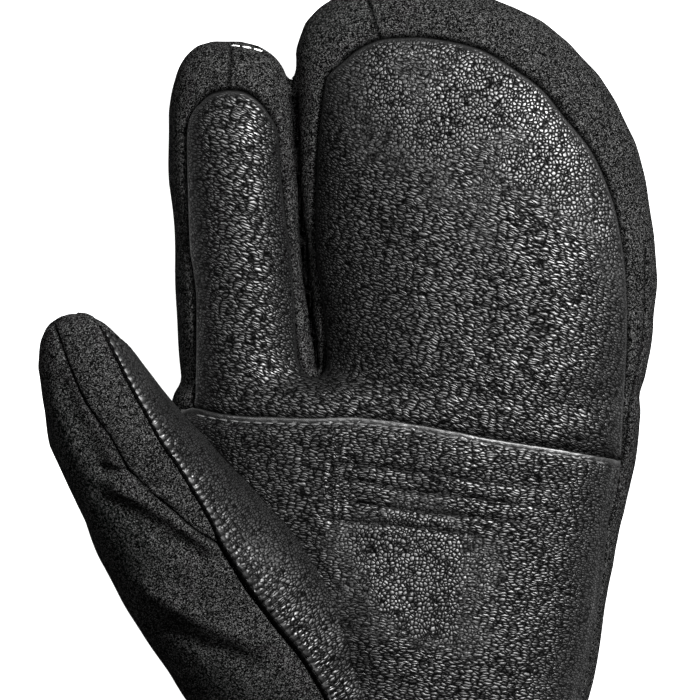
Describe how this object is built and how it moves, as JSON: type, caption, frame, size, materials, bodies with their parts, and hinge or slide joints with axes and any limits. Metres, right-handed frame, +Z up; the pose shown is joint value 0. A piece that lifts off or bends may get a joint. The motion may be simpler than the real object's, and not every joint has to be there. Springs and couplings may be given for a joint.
{
  "type": "lobster claw mitt",
  "caption": "Left-hand padded winter mitt with a separate index finger, one lobe for the other fingers and a leather palm.",
  "frame": {"origin": "under the middle of the mitt, on the surface that it lies on", "axes": "+Z up from the palm, +Y to the fingertips, +X to the little finger's side"},
  "size_m": [0.1602, 0.275, 0.0781],
  "materials": {
    "softshell": "matte black softshell cloth with a fine speckle",
    "leather": "pebbled black leather with a low satin gloss"
  },
  "bodies": {
    "root": {"back_panel": "softshell", "finger_palm": "leather", "palm_patch": "leather", "thumb_back": "softshell", "thumb_gusset": "softshell", "thumb_palm": "leather", "cuff": "softshell"}
  },
  "joints": []
}
